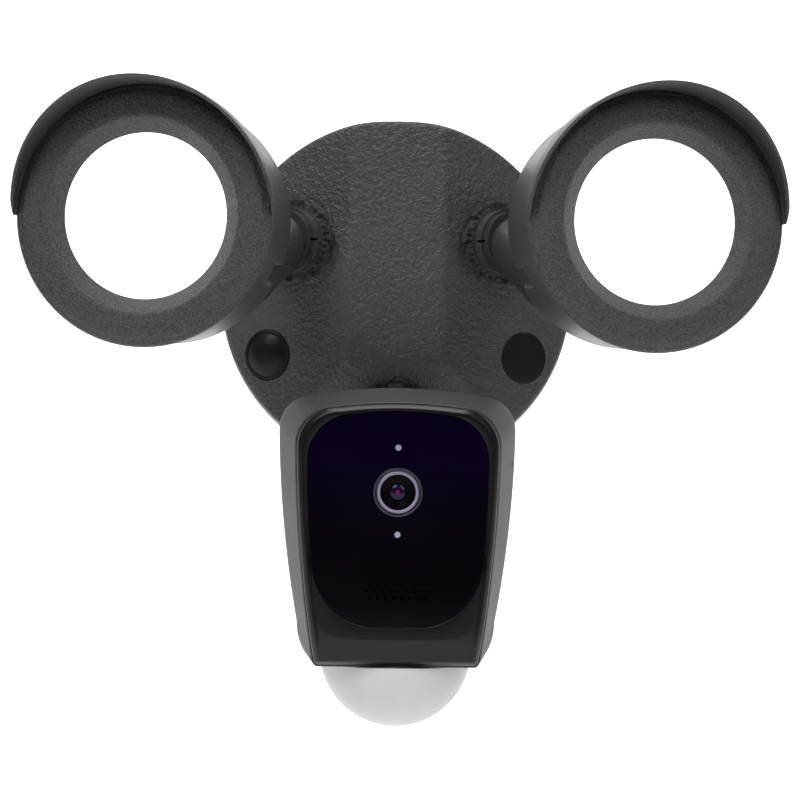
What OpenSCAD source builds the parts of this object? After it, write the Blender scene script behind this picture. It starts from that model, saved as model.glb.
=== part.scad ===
// Wall-mounted floodlight camera: round housing, two aimed lamp heads, camera below.
// Every sub-part is drawn facing up the z axis: x to the right, y up, z out from the wall.
// The whole object is then stood up, so that the front faces -Y and the top faces +Z.

/* [Housing] */
// Diameter of the round housing at the wall
plate_d = 131.2; // [130:0.2:132]
// Depth of the centre rib's face from the wall
rib_depth = 31; // [30.5:0.5:31.5]
// Width of the rib's face
rib_w = 34.4; // [33:0.2:36]
// Height of the rib's flat top edge above the centre
rib_top = 63; // [62:0.1:63.2]
// Slope of the two flanks, in degrees
flank_slope = 28; // [27:0.5:29]
// Slope of the facet below the rib, in degrees
facet_slope = 26; // [25:0.5:27]
// Upper edge of that facet, below the centre
facet_drop = 24.5; // [24:0.5:25]
// Thickness of the moulded walls
wall = 2.4; // [2.2:0.1:2.6]
// Distance between the two holes for the wall box's screws
box_spacing = 88.9; // [82.6, 88.9]

/* [Lamp heads] */
// Radius of a head at its front rim
head_r = 43.8; // [43.6:0.1:44]
// Depth of a head from front to back
head_len = 44.2; // [44:0.2:45]
// Radius of the bright opening
lens_r = 27.7; // [27:0.1:28]
// How far the lens sits behind the front face
lens_recess = 4.6; // [4.4:0.1:4.8]
// Length of the hood over the top
hood_len = 16.3; // [12:0.5:18]
// Outward turn of each head, in degrees
head_yaw = 10.2; // [10:0.2:10.4]
// Sideways distance of a head's front centre
head_x = 85.7; // [85.5:0.1:86]
// Height of a head's front centre
head_y = 21.2; // [21:0.1:21.4]
// Depth of a head's front centre
head_z = 118.9; // [118.5:0.1:119.5]
// Lugs around a lock ring
lugs = 9; // [7:1:10]

/* [Camera] */
// Depth of the camera's front face from the wall
cam_front = 128; // [128:0.5:129]
// Height of the camera lens, measured from the plate's centre
cam_lens_y = -69.4; // [-70:0.1:-69]
// Radius of the motion sensor's dome
dome_r = 25.6; // [25.4:0.1:25.8]
// Distance of the dome's centre from the wall
dome_z = 98.4; // [98.2:0.1:98.6]

/* [Hidden] */
$fn = 64;
eps = 0.01;
// Room between pieces that turn on each other, and between pieces of one body
play = 0.3;
pin_play = 0.05;
gasket_t = 1.6;
draft = 2.4;
socket_x = 35.5;
socket_y = 18.8;
socket_z = rib_depth - (socket_x - rib_w / 2) * tan(flank_slope);
plug_x = 47.4;
plug_y = -23;
plug_z = rib_depth - (plug_x - rib_w / 2) * tan(flank_slope);
plug_r = 9.3;
screw_x = 43.6;
screw_head_z = 8.4;
mount_hole_r = 2.4;
back_cover_z = 4.6;
back_cover_top = 6.4;
cover_screw_angles = [35, 145, 240, 300];
collar_r = 12;
lug_w = 5.2;
spindle_r = 8;
pivot = [-16, -18, -36];
tongue_t = 6.8;
tongue_w = 14.4;
pocket_t = 7.6;
pocket_floor = -27.6;
pin_r = 1.75;
bezel_back = -3.8;
hood_r = 45.1;
ball_r = 10.5;
ball_y = -45.2;
ball_z = 16.4;
stem_turn = 26;
stem_len = 57.6;
boss_r = 9.5;
cam_wide_z = 100;
cam_back_z = 72;
dome_neck_r = 22.4;
dome_rise = 3.7;
button_z = 84;
cam_floor_y = -127.4;
bezel_floor_y = -126.6;
chin_y = -117.8;
chin_slope = 25;
glass_z = cam_front - 1.6;

charcoal = [0.16, 0.16, 0.165];
charcoal_dark = [0.09, 0.09, 0.095];
metal = [0.72, 0.72, 0.74];
board_green = [0.1, 0.35, 0.2];
lamp_white = [0.97, 0.97, 0.94];

// ---- placing ----

module upright() { rotate([90, 0, 0]) children(); }

module side(s) { if (s < 0) mirror([1, 0, 0]) children(); else children(); }

// On a flank, with z along the flank's outward normal
module on_flank(x, y, z) { translate([x, y, z]) rotate([0, flank_slope, 0]) children(); }

module at_socket() { on_flank(socket_x, socket_y, socket_z) children(); }

module at_plug() { on_flank(plug_x, plug_y, plug_z) children(); }

// At a head's front centre, with z out of the lamp
module at_head() { translate([head_x, head_y, head_z]) rotate([0, head_yaw, 0]) children(); }

// At the camera's ball, with z along its stem
module at_ball() { translate([0, ball_y, ball_z]) rotate([stem_turn, 0, 0]) children(); }

module tube(r_out, r_in, z0, z1) {
    difference() {
        translate([0, 0, z0]) cylinder(h = z1 - z0, r = r_out);
        translate([0, 0, z0 - 1]) cylinder(h = z1 - z0 + 2, r = r_in);
    }
}

module disc(r, z0, z1) { translate([0, 0, z0]) cylinder(h = z1 - z0, r = r); }

// ---- housing ----

function flank_profile(i) =
    let (far = plate_d, t = tan(flank_slope), shift = i / cos(flank_slope), top = rib_depth - i,
         half = rib_w / 2 - i * tan(flank_slope / 2))
    [[-far, -5], [far, -5], [far, max(1, rib_depth - (far - rib_w / 2) * t - shift)],
     [far * 0.5 + 8, rib_depth - (far * 0.5 + 8 - rib_w / 2) * t - shift],
     [half, top], [-half, top],
     [-far * 0.5 - 8, rib_depth - (far * 0.5 + 8 - rib_w / 2) * t - shift],
     [-far, max(1, rib_depth - (far - rib_w / 2) * t - shift)]];

// The housing's solid outer form, shrunk by i on every face but the back
module housing_form(i) {
    intersection() {
        cylinder(h = rib_depth, r1 = plate_d / 2 - i, r2 = plate_d / 2 - draft - i, $fn = 128);
        rotate([90, 0, 0]) linear_extrude(height = 200, center = true) polygon(flank_profile(i));
        translate([0, -facet_drop, rib_depth]) rotate([facet_slope, 0, 0])
            translate([-100, -150, -100 - i]) cube([200, 300, 100]);
        translate([-100, -100, -1]) cube([200, 100 + rib_top - i, 100]);
    }
}

module screw_pillars() {
    for (s = [-1, 1]) side(s) {
        translate([screw_x, plug_y, 4]) cylinder(h = 30, r = 7);
        intersection() {
            at_plug() disc(9, -9, 1);
            translate([0, -80, back_cover_top + 2 * play]) cube([80, 160, 40]);
        }
    }
}

module housing_cover() color(charcoal) upright() difference() {
    union() {
        difference() {
            housing_form(0);
            translate([0, 0, -eps]) housing_form(wall);
        }
        intersection() {
            housing_form(wall / 2);
            screw_pillars();
        }
    }
    translate([0, 0, -1]) cylinder(h = 1 + gasket_t, r = 80);
    for (s = [-1, 1]) side(s) {
        at_socket() disc(spindle_r + 2.4, -8, 8);
        at_plug() disc(plug_r + 0.2, -1.8, 8);
        at_plug() disc(6.6, -7, 8);
        translate([screw_x, plug_y, 5.4]) cylinder(h = 7, r = 4);
        translate([screw_x, plug_y, -1]) cylinder(h = 20, r = 2.2);
    }
    at_ball() disc(12.8, -20, 20);
}

module wall_gasket() color([0.06, 0.06, 0.06]) upright()
    tube(plate_d / 2 - 0.4, plate_d / 2 - 5.4, 0, gasket_t);

module mounting_plate() color(metal) upright() difference() {
    disc(55, 0, 2);
    disc(17, -1, 3);
    for (x = [-box_spacing / 2, box_spacing / 2]) translate([x, 0, 0]) disc(mount_hole_r, -1, 3);
    for (s = [-1, 1]) side(s) {
        translate([screw_x, plug_y, 0]) disc(1.95, -1, 3);
        for (y = [26, -34]) translate([18, y, -1]) cube([16, 4.4, 4]);
    }
    translate([-12, 31, -1]) cylinder(h = 4, r = 1.9);
}

module ground_screw() color([0.2, 0.5, 0.25]) upright() translate([-12, 31, 0]) {
    disc(1.8, 0.2, 2.2);
    difference() {
        disc(3.6, 2.2, 4.4);
        translate([-0.5, -3, 3.5]) cube([1, 6, 2]);
    }
}

module back_cover() color(charcoal_dark) upright() difference() {
    intersection() {
        disc(59.5, back_cover_z, back_cover_top);
        translate([0, 0, -1]) housing_form(wall + 0.6);
    }
    disc(6.2, 3, 8);
    translate([0, -46, 0]) disc(12, 3, 8);
    for (s = [-1, 1]) side(s) translate([screw_x, plug_y, 0]) disc(7.4, 3, 8);
    for (a = cover_screw_angles) rotate(a) translate([50, 0, 0]) disc(1.45, 3, 8);
}

module back_cover_screws() color(metal) upright()
    for (a = cover_screw_angles) rotate(a) translate([50, 0, 0]) {
        disc(1.4, back_cover_z, back_cover_z + 3);
        disc(2.6, back_cover_z - 1.4, back_cover_z);
    }

module cover_screws() color(metal) upright() for (s = [-1, 1]) side(s) translate([screw_x, plug_y, 0]) {
    disc(1.9, 0.2, 6.4);
    difference() {
        disc(3.7, 5.5, screw_head_z);
        translate([-3, -0.5, screw_head_z - 1]) cube([6, 1, 2]);
        translate([-0.5, -3, screw_head_z - 1]) cube([1, 6, 2]);
    }
}

module wire_grommet() color([0.08, 0.08, 0.08]) upright() difference() {
    union() {
        disc(6.1, 4.5, 6.6);
        disc(8, 3.2, 4.5);
        disc(8, 6.6, 7.8);
    }
    disc(3.4, 0, 10);
}

module driver_board() color(board_green) upright() translate([-15, 9, 9]) cube([30, 46, 1.6]);

module driver_components() color([0.25, 0.25, 0.28]) upright() {
    translate([-11, 38, 10.6]) cube([14, 13, 12]);
    translate([9, 45, 10.6]) cylinder(h = 15, r = 4);
    translate([9, 33, 10.6]) cylinder(h = 12, r = 3.2);
    translate([-11, 24, 10.6]) cube([9, 9, 7]);
    translate([4, 16, 10.6]) cube([7, 8, 3]);
}

module terminal_block() color([0.85, 0.85, 0.8]) upright() difference() {
    translate([-11, 11, 10.6]) cube([13, 9, 8]);
    for (x = [-8.6, -4.6, -0.6]) translate([x, 15.5, 14]) cylinder(h = 6, r = 1.2);
}

module plug_stem() { disc(6.2, -5, -1.4); }

// Pressed in over the screw: this one bulges
module left_plug() color([0.05, 0.05, 0.055]) upright() side(-1) at_plug() {
    plug_stem();
    disc(plug_r - 0.1, -1.5, 0.5);
    intersection() {
        disc(7.8, 0.4, 4);
        translate([0, 0, -11.9]) sphere(r = 14.6);
    }
}

// and this one is flat
module right_plug() color([0.04, 0.04, 0.045]) upright() at_plug() {
    plug_stem();
    disc(plug_r - 0.1, -1.5, 0.2);
}

// ---- arm sockets ----

module arm_socket() color(charcoal_dark) at_socket() {
    tube(spindle_r + 2, spindle_r + pin_play, -5, 6);
    tube(13, spindle_r + 1.5, 0.2, 1.2);
}

module left_socket() upright() side(-1) arm_socket();
module right_socket() upright() side(1) arm_socket();

// A castellated ring with a finely toothed front edge
module lock_ring(r_in, r_body, r_lug, z0, z1, teeth) {
    difference() {
        union() {
            disc(r_body, z0, z1);
            for (i = [0:lugs - 1]) rotate(i * 360 / lugs + 10)
                translate([r_body - 0.6, -lug_w / 2, z0 + 0.4])
                    cube([r_lug - r_body + 0.6, lug_w, (z1 - z0) * 0.72]);
        }
        disc(r_in, z0 - 1, z1 + 1);
        for (i = [0:teeth - 1]) rotate(i * 360 / teeth)
            translate([r_body - 0.5, -0.3, z1 - 1.3]) cube([2, 0.6, 2]);
    }
}

module arm_lock_ring() color(charcoal_dark) at_socket()
    lock_ring(spindle_r + 2 + play, 13.2, 14.7, 1.6, 6, 36);

module left_lock_ring() upright() side(-1) arm_lock_ring();
module right_lock_ring() upright() side(1) arm_lock_ring();

// ---- arms ----

// The tongue's pin, and the arm's elbow behind it, both in housing coordinates
function head_point(p) = [
    head_x + p[0] * cos(head_yaw) + p[2] * sin(head_yaw),
    head_y + p[1],
    head_z - p[0] * sin(head_yaw) + p[2] * cos(head_yaw)];
pin_at = head_point(pivot);
tongue_turn = 21.6;
tongue_len = 29;
elbow_at = pin_at - tongue_len * [sin(tongue_turn), 0, cos(tongue_turn)];
neck_start = 10.8;
neck_at = [socket_x + neck_start * sin(flank_slope), socket_y, socket_z + neck_start * cos(flank_slope)];
neck_r = 9.4;

// A round bar between two points
module bar(a, b, r) {
    d = b - a;
    translate(a) rotate([0, acos(d[2] / norm(d)), atan2(d[1], d[0])]) cylinder(h = norm(d), r = r);
}

module arm() color(charcoal_dark) {
    difference() {
        union() {
            at_socket() {
                disc(spindle_r, -9, 6.6);
                disc(collar_r, 6.6, 11);
                disc(11, 11, 14.5);
            }
            bar(neck_at, elbow_at, neck_r);
            translate(elbow_at) sphere(r = neck_r + 0.25);
            translate(pin_at) rotate([0, tongue_turn, 0]) {
                translate([-tongue_w / 2, -tongue_t / 2, -tongue_len])
                    cube([tongue_w, tongue_t, tongue_len]);
                rotate([90, 0, 0]) cylinder(h = tongue_t, r = tongue_w / 2 + 0.2, center = true);
            }
        }
        translate(pin_at) rotate([90, 0, 0]) cylinder(h = 20, r = pin_r + pin_play, center = true);
        at_socket() {
            disc(3, -10, 9);
            translate([-collar_r - 1, -0.45, 8.4]) cube([4, 0.9, 4]);
        }
    }
}

module left_arm() upright() side(-1) arm();
module right_arm() upright() side(1) arm();

module arm_nut() color(metal) at_socket() tube(11, spindle_r + 0.1, -8.6, -6.2);
module left_arm_nut() upright() side(-1) arm_nut();
module right_arm_nut() upright() side(1) arm_nut();

module hinge_pin() color(metal) at_head() translate(pivot) rotate([90, 0, 0])
    cylinder(h = pocket_t + 5.2, r = pin_r, center = true);
module left_hinge_pin() upright() side(-1) hinge_pin();
module right_hinge_pin() upright() side(1) hinge_pin();

// ---- lamp heads ----

// The wall of the drum in section, from the seam behind the bezel round to the back
drum_wall = [
    [40.6, bezel_back - play], [42.9, bezel_back - play], [42.4, -24.6], [42.0, -25.0],
    [41.8, 3 - head_len], [41, 0.9 - head_len], [39, -head_len], [0, -head_len],
    [0, 2.2 - head_len], [38.6, 2.2 - head_len], [39.6, 4 - head_len], [40, -25], [40.6, -10]];

module pocket_box(grow, floor_z, back_z) {
    translate([-60, pivot[1] - pocket_t / 2 - grow, back_z])
        cube([60 + pivot[0] + 9 + grow, pocket_t + 2 * grow, floor_z - back_z]);
}

module head_shell() color(charcoal) at_head() difference() {
    union() {
        rotate_extrude($fn = 128) polygon(drum_wall);
        intersection() {
            disc(40.5, -head_len, -20);
            pocket_box(2.6, pocket_floor + 2, 1 - head_len);
        }
    }
    pocket_box(0, pocket_floor, -head_len - 1);
    translate(pivot) rotate([90, 0, 0]) cylinder(h = pocket_t + 5.4, r = pin_r + 0.02, center = true);
}

module left_shell() upright() side(-1) head_shell();
module right_shell() upright() side(1) head_shell();

// Front ring: chamfer down to the lens, gently crowned face, rounded rim, spigot into the drum
module bezel() color(charcoal) at_head() rotate_extrude($fn = 128) polygon([
    [lens_r, -lens_recess - 0.1], [lens_r + 4.8, -0.3], [lens_r + 6, -0.05], [38, 0], [40.6, -0.4],
    [41.8, -1.2], [head_r - 0.7, -1.7], [head_r, -2.6], [head_r, bezel_back], [40.2, bezel_back],
    [40.2, -8], [38, -8], [38, -5.2], [lens_r, -5.2]]);
module left_bezel() upright() side(-1) bezel();
module right_bezel() upright() side(1) bezel();

// A flared half tube, cut on a slant so that it is longest over the top
module hood() color(charcoal) at_head() difference() {
    rotate_extrude($fn = 128) polygon([
        [head_r + 0.1, bezel_back], [head_r + 0.8, bezel_back], [hood_r, hood_len + 1],
        [hood_r - 1.2, hood_len + 1], [head_r - 0.5, -0.8], [head_r + 0.1, -0.8]]);
    translate([-60, -60, -10]) cube([120, 60, 60]);
    rotate([atan(hood_len / hood_r), 0, 0]) translate([-60, -20, 0]) cube([120, 100, 40]);
}
module left_hood() upright() side(-1) hood();
module right_hood() upright() side(1) hood();

module lamp_lens() color(lamp_white) at_head() disc(37.6, -6.8, -5.3);
module left_lens() upright() side(-1) lamp_lens();
module right_lens() upright() side(1) lamp_lens();

module reflector() color(metal) at_head() rotate_extrude() polygon([
    [14, -12.4], [15, -12.4], [36, -8.4], [37.4, -8.4], [37.4, -7.2], [35.6, -7.2], [14, -11.2]]);
module left_reflector() upright() side(-1) reflector();
module right_reflector() upright() side(1) reflector();

module led_board() color([0.9, 0.9, 0.88]) at_head() disc(30, -14.6, -13);
module left_led_board() upright() side(-1) led_board();
module right_led_board() upright() side(1) led_board();

module leds() color([0.95, 0.85, 0.3]) at_head()
    for (x = [-7, 0, 7], y = [-7, 0, 7]) translate([x - 1.7, y - 1.7, -12.9]) cube([3.4, 3.4, 0.8]);
module left_leds() upright() side(-1) leds();
module right_leds() upright() side(1) leds();

module heat_sink() color(metal) at_head() {
    disc(37, -17.4, -14.7);
    for (x = [-24:6:24]) translate([x - 0.8, -2, -24]) cube([1.6, 26, 7]);
}
module left_heat_sink() upright() side(-1) heat_sink();
module right_heat_sink() upright() side(1) heat_sink();

// ---- camera ----

// Half outlines run from the top centre round the right side to the bottom centre.
// top: apex height, arch: drop to the corner, w1: half width under the corner, rt: corner size,
// w2: half width over the lower corner, bottom: its height, rb: lower corner's width, hb: its height,
// bulge: how far the sides bow out of straight
function half_outline(top, arch, w1, rt, w2, bottom, rb, hb, bulge) = concat(
    [for (i = [0:6]) let (u = i / 6) [(w1 - rt) * u, top - arch * u * u]],
    [for (i = [1:8]) let (a = 90 - i * 90 / 8) [w1 - rt + rt * cos(a), top - arch - rt + rt * sin(a)]],
    [for (i = [1:8]) let (u = i / 8)
        [w1 + (w2 - w1) * u + 4 * bulge * u * (1 - u),
         top - arch - rt + (bottom + hb - top + arch + rt) * u]],
    [for (i = [1:8]) let (a = -i * 90 / 8) [w2 - rb + rb * cos(a), bottom + hb + hb * sin(a)]]);

function whole_outline(h) = concat(h, [for (i = [len(h) - 1:-1:1]) [-h[i][0], h[i][1]]]);

function case_front(i) =
    whole_outline(half_outline(-39.9 - i, 1.4, 33.9 - i, 13.6, 27.9 - i, cam_floor_y + i, 2, 3, 1.2));
function case_wide(i) =
    whole_outline(half_outline(-34.7 - i, 2.7, 40.3 - i, 11.5, 33.8 - i, cam_floor_y + i, 8, 14, 1.4));
function case_back(i) =
    whole_outline(half_outline(-41 - i, 2, 35 - i, 12, 29 - i, cam_floor_y + 0.8 + i, 9, 10, 1));
function bezel_outline(i) =
    whole_outline(half_outline(-40.4 - i, 1.3, 33.3 - i, 13.6 - i / 2, 27.1 - i, bezel_floor_y + i,
                               1.6, 1.6, 1.3));
function glass_outline(i) =
    whole_outline(half_outline(-43 - i, 1, 29.6 - i, 14.6 - i, 28.4 - i, -113.6 + i,
                               21 - i, 24 - i, 0.3));

module slab(points, z0, z1) { translate([0, 0, z0]) linear_extrude(height = z1 - z0) polygon(points); }

module case_form(i) {
    hull() {
        slab(case_front(i), 121 - eps, 121);
        slab(case_wide(i), cam_wide_z - 4, cam_wide_z);
        slab(case_back(i), cam_back_z + i, cam_back_z + i + 1);
    }
}

module camera_case() color(charcoal) upright() difference() {
    union() {
        difference() {
            case_form(0);
            case_form(2.2);
        }
        at_ball() disc(boss_r, stem_len + 0.1, stem_len + 8);
    }
    slab(case_front(2.2), 110, 130);
    translate([0, cam_floor_y + 10, dome_z]) rotate([90, 0, 0]) cylinder(h = 20, r = dome_neck_r + 0.1);
    at_ball() disc(6.1, 40, stem_len + 10);
    translate([0, -40, button_z]) rotate([-90, 0, 0]) cylinder(h = 14, r = 3.3, center = true);
    translate([39, -60.2, 104]) rotate([0, 90, 0]) cylinder(h = 12, r = 0.6, center = true);
}

// Everything in front of the chin, which folds back below its crease
module chin_cut() {
    translate([0, chin_y, cam_front]) rotate([chin_slope, 0, 0])
        translate([-50, -40, 0]) cube([100, 40, 40]);
}

module camera_bezel() color(charcoal_dark) upright() difference() {
    union() {
        slab(bezel_outline(0), 121 + play / 2, cam_front - 1.6);
        hull() {
            slab(bezel_outline(0), cam_front - 1.7, cam_front - 1.6);
            slab(bezel_outline(1.5), cam_front - 0.1, cam_front);
        }
        slab(bezel_outline(3), 115, 121.2);
    }
    slab(glass_outline(-0.15), glass_z - 0.3, 140);
    slab(glass_outline(2), 100, 140);
    translate([-30, bezel_floor_y - 3, 110]) cube([60, 7.8, 11 + play / 2]);
    chin_cut();
}

module camera_glass() color([0.02, 0.01, 0.04]) upright() difference() {
    slab(glass_outline(0), glass_z - 0.3, glass_z + 1);
    translate([0, cam_lens_y, 0]) disc(8.2, 100, 140);
    for (row = [0:2], i = [0:(row == 1 ? 8 : 7)])
        translate([(i - (row == 1 ? 4 : 3.5)) * 2.56, -99.7 - row * 2.2, 0]) disc(0.5, 100, 140);
    for (y = [-54.7, -83.3]) translate([0, y, 0]) disc(1.05, 100, 140);
}

module at_lens() { translate([0, cam_lens_y, 0]) children(); }

module lens_ring() color([0.35, 0.32, 0.42]) upright() at_lens() difference() {
    disc(8.1, 124, glass_z + 1);
    disc(6.6, 120, 140);
}

module lens_barrel() color([0.03, 0.03, 0.04]) upright() at_lens() difference() {
    disc(6.5, 112, 126.6);
    translate([0, 0, 123.5]) cylinder(h = 4, r1 = 3, r2 = 5.9);
    disc(3, 119.8, 124);
}

module lens_glass() color([0.1, 0.05, 0.2]) upright() at_lens() intersection() {
    disc(2.9, 120, 126);
    translate([0, 0, 118.4]) sphere(r = 6);
}

module indicator_windows() color([0.7, 0.68, 0.8]) upright()
    for (y = [-54.7, -83.3]) translate([0, y, 0]) disc(1, 123, glass_z + 0.9);

module camera_board() color(board_green) upright() difference() {
    translate([-22, -112, 107]) cube([44, 62, 1.6]);
    translate([-9, -108, 100]) cube([18, 12, 20]);
}

module image_sensor() color([0.15, 0.15, 0.2]) upright() at_lens()
    translate([-7, -7, 108.7]) cube([14, 14, 3.2]);

module speaker() color([0.1, 0.1, 0.1]) upright() translate([0, -101, 0]) {
    disc(9.4, 113, 119);
    tube(9.4, 7.4, 119, 121);
}

module microphone() color([0.5, 0.5, 0.5]) upright() translate([30, -62.2, 102]) cube([3, 4, 4]);

module dome_ring() color(charcoal_dark) upright() translate([0, cam_floor_y, dome_z]) rotate([90, 0, 0]) {
    tube(dome_neck_r - 1.4, dome_neck_r - 2.8, -5, -3.4);
}

module motion_dome() color([0.88, 0.88, 0.88]) upright() translate([0, cam_floor_y - 0.1, dome_z]) {
    difference() {
        translate([0, dome_rise, 0]) sphere(r = dome_r, $fn = 96);
        translate([0, dome_rise, 0]) sphere(r = dome_r - 2.8, $fn = 96);
        translate([-30, 0, -30]) cube([60, 60, 60]);
    }
    rotate([-90, 0, 0]) tube(dome_r - 0.8, dome_neck_r - 1.2, -1.2, 0);
    rotate([-90, 0, 0]) tube(dome_neck_r, dome_neck_r - 1.2, -0.1, 4.8);
}

module motion_sensor() color(metal) upright() translate([0, cam_floor_y, dome_z]) rotate([90, 0, 0]) {
    disc(14, -4, -2.4);
    disc(4.6, -2.4, 3);
}

module setup_button() color([0.85, 0.4, 0.1]) upright() translate([0, -42, button_z]) rotate([-90, 0, 0]) {
    disc(3, 0, 5.2);
    disc(4.2, -1.6, 0);
}

// The ball turns in the housing's socket, and the stem tilts on the pin through it
module camera_socket() color(charcoal_dark) upright() at_ball() difference() {
    disc(12.6, -6, 7.2);
    sphere(r = ball_r + pin_play);
    disc(8.9, -10, 10);
    disc(ball_r + pin_play, -10, 0);
}

module camera_lock_ring() color(charcoal_dark) upright() at_ball() lock_ring(12.9, 14.6, 16.2, 4.6, 9.2, 36);

module camera_ball() color(charcoal_dark) upright() translate([0, ball_y, ball_z]) difference() {
    intersection() {
        sphere(r = ball_r);
        rotate([90, 0, 0]) cylinder(h = 3 * ball_r, r = ball_r - 0.08, center = true);
    }
    translate([-3.8, -20, -6]) cube([7.6, 40, 30]);
    rotate([0, 90, 0]) cylinder(h = 40, r = pin_r + 0.02, center = true);
}

module camera_ball_pin() color(metal) upright() translate([0, ball_y, ball_z]) rotate([0, 90, 0])
    cylinder(h = 18, r = pin_r, center = true);

module camera_stem() color(charcoal_dark) upright() at_ball() difference() {
    union() {
        translate([-3.5, -3.4, 0]) cube([7, 6.8, 16]);
        rotate([0, 90, 0]) cylinder(h = 7, r = 3.4, center = true);
        disc(7, 15, stem_len);
        disc(6, stem_len, stem_len + 8);
    }
    rotate([0, 90, 0]) cylinder(h = 20, r = pin_r + pin_play, center = true);
}

// ---- one line for each node ----

mounting_plate();
ground_screw();
wall_gasket();
housing_cover();
back_cover();
back_cover_screws();
cover_screws();
wire_grommet();
driver_board();
driver_components();
terminal_block();
left_plug();
right_plug();
left_socket();
right_socket();
left_lock_ring();
right_lock_ring();
left_arm();
right_arm();
left_arm_nut();
right_arm_nut();
left_hinge_pin();
right_hinge_pin();
left_shell();
right_shell();
left_bezel();
right_bezel();
left_hood();
right_hood();
left_lens();
right_lens();
left_reflector();
right_reflector();
left_led_board();
right_led_board();
left_leds();
right_leds();
left_heat_sink();
right_heat_sink();
camera_socket();
camera_lock_ring();
camera_ball();
camera_ball_pin();
camera_stem();
camera_case();
camera_bezel();
camera_glass();
lens_ring();
lens_barrel();
lens_glass();
indicator_windows();
camera_board();
image_sensor();
speaker();
microphone();
dome_ring();
motion_dome();
motion_sensor();
setup_button();
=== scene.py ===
import bpy
import bmesh
import numpy as np
from math import sin, cos, tan, radians, pi
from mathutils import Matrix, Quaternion, Vector


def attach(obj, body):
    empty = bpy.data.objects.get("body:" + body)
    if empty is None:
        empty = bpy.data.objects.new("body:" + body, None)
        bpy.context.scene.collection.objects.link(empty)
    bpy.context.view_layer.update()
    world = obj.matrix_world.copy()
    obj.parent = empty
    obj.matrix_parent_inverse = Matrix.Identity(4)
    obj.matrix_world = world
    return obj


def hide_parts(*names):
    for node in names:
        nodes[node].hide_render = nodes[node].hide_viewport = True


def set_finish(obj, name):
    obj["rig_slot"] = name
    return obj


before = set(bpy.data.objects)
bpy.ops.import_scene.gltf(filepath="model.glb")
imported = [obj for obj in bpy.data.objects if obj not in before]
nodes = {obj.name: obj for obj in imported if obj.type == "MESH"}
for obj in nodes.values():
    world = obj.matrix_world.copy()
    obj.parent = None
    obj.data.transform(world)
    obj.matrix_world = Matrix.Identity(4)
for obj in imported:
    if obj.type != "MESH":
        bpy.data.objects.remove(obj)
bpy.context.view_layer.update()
mm = 0.001
sides = {"left": -1, "right": 1}


# Shapes are worked out in millimetres: x right, y up, z out from the wall
def standUp(p):
    # to the row frame: depth becomes -Y, height becomes Z
    return np.stack([p[:, 0], -p[:, 2], p[:, 1]], 1) * mm


headPose = {"yaw": 10.2, "at": (85.7, 21.2, 118.9)}  # front centre of the right head


def toHead(p, side):
    # a head's own points, z out of the lamp: x' = x cos a + z sin a, z' = z cos a - x sin a, mirrored for the left
    a = radians(headPose["yaw"])
    q = np.stack([p[:, 0] * cos(a) + p[:, 2] * sin(a), p[:, 1], p[:, 2] * cos(a) - p[:, 0] * sin(a)], 1)
    q += np.array(headPose["at"])
    q[:, 0] *= side
    return q


flank = {"slope": 28.0, "ribHalf": 17.2, "ribDepth": 31.0}


def toFlank(p, x, y, side):
    # points drawn on a flank, z along its outward normal
    a = radians(flank["slope"])
    z = flank["ribDepth"] - (x - flank["ribHalf"]) * tan(a)
    q = np.stack([p[:, 0] * cos(a) + p[:, 2] * sin(a) + x, p[:, 1] + y, p[:, 2] * cos(a) - p[:, 0] * sin(a) + z], 1)
    q[:, 0] *= side
    return q


def gridQuads(rows, cols, closeRows=False, closeCols=True):
    # four-cornered faces between neighbouring rows and columns, wrapping round where asked
    r = np.arange(rows if closeRows else rows - 1)
    c = np.arange(cols if closeCols else cols - 1)
    i, j = np.meshgrid(r, c, indexing="ij")
    i2, j2 = (i + 1) % rows, (j + 1) % cols
    return np.stack([i * cols + j, i * cols + j2, i2 * cols + j2, i2 * cols + j], -1).reshape(-1, 4)


def makePiece(name, body, points, faces, slot, stands=(), sharp=35, flat=False):
    # one mesh from points and faces, seams merged and faces turned outwards
    mesh = bpy.data.meshes.new(name)
    mesh.from_pydata(standUp(points).tolist(), [], [tuple(f) for f in faces])
    bm = bmesh.new()
    bm.from_mesh(mesh)
    bmesh.ops.remove_doubles(bm, verts=bm.verts, dist=2e-6)
    bmesh.ops.dissolve_degenerate(bm, edges=bm.edges, dist=1e-6)
    bmesh.ops.recalc_face_normals(bm, faces=bm.faces)
    bm.to_mesh(mesh)
    bm.free()
    mesh.polygons.foreach_set("use_smooth", [not flat] * len(mesh.polygons))
    mesh.set_sharp_from_angle(angle=radians(sharp))
    piece = bpy.data.objects.new(name, mesh)
    bpy.context.scene.collection.objects.link(piece)
    if body:
        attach(piece, body)
        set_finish(piece, slot)
        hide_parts(*stands)
    return piece


def soften(path, size, steps=4, closed=True):
    # each corner p becomes the curve a (1 - t)^2 + 2 p t (1 - t) + b t^2, where a and b lie "size" along its edges
    p = np.array(path, float)
    before, after = np.roll(p, 1, 0), np.roll(p, -1, 0)
    size = np.broadcast_to(size, len(p))[:, None]
    lenA = np.linalg.norm(before - p, axis=1, keepdims=True)
    lenB = np.linalg.norm(after - p, axis=1, keepdims=True)
    a = p + (before - p) / lenA * np.minimum(size, lenA * 0.49)
    b = p + (after - p) / lenB * np.minimum(size, lenB * 0.49)
    t = np.linspace(0, 1, steps + 1)[None, :, None]
    curve = a[:, None] * (1 - t) ** 2 + 2 * p[:, None] * t * (1 - t) + b[:, None] * t ** 2
    if closed:
        return curve.reshape(-1, 2)
    return np.concatenate([p[:1], curve[1:-1].reshape(-1, 2), p[-1:]])


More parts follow.
